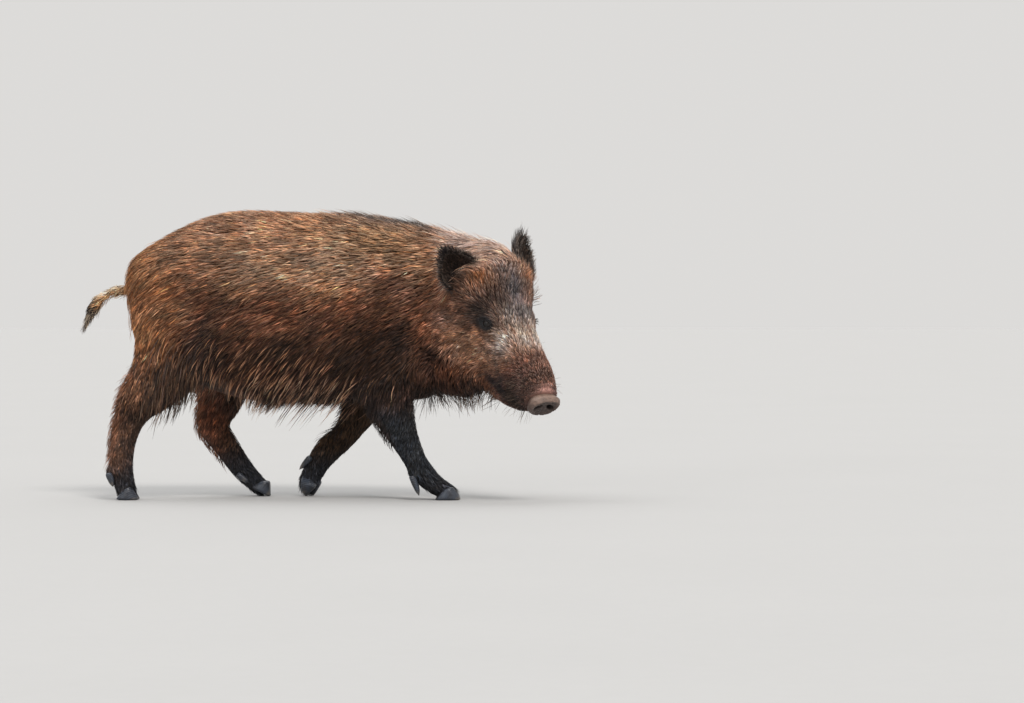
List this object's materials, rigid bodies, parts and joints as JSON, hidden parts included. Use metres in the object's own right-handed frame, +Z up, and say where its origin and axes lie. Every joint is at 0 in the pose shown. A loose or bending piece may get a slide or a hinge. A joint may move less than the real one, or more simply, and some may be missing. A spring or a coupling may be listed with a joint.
{
  "type": "wild boar",
  "caption": "Life-size still wild boar yearling, walking with its head low and turned to its right, with bristly coat, upright ears, flat snout disc and cloven hooves.",
  "frame": {"origin": "on the floor, under the middle of the boar's bounding box", "axes": "+X the way the boar walks, +Y to its left, +Z up; its head is turned towards -Y"},
  "size_m": [0.9474, 0.3688, 0.5766],
  "materials": {
    "coat": "coarse overlapping bristles over dark underwool",
    "dark_coat": "short flat bristles",
    "horn": "worn hoof horn",
    "snout_skin": "bare moist skin",
    "eyeball": "wet and glossy"
  },
  "bodies": {
    "root": {"claw_left_fore_left": "horn", "claw_left_fore_right": "horn", "claw_left_hind_left": "horn", "claw_left_hind_right": "horn", "claw_right_fore_left": "horn", "claw_right_fore_right": "horn", "claw_right_hind_left": "horn", "claw_right_hind_right": "horn", "dewclaw_left_fore_left": "horn", "dewclaw_left_fore_right": "horn", "dewclaw_left_hind_left": "horn", "dewclaw_left_hind_right": "horn", "dewclaw_right_fore_left": "horn", "dewclaw_right_fore_right": "horn", "dewclaw_right_hind_left": "horn", "dewclaw_right_hind_right": "horn", "ear_left": "dark_coat", "ear_right": "dark_coat", "eye_left": "eyeball", "eye_right": "eyeball", "head": "coat", "leg_fore_left": "dark_coat", "leg_fore_right": "dark_coat", "leg_hind_left": "dark_coat", "leg_hind_right": "dark_coat", "neck": "coat", "snout_disc": "snout_skin", "tail": "coat", "trunk": "coat"}
  },
  "joints": []
}
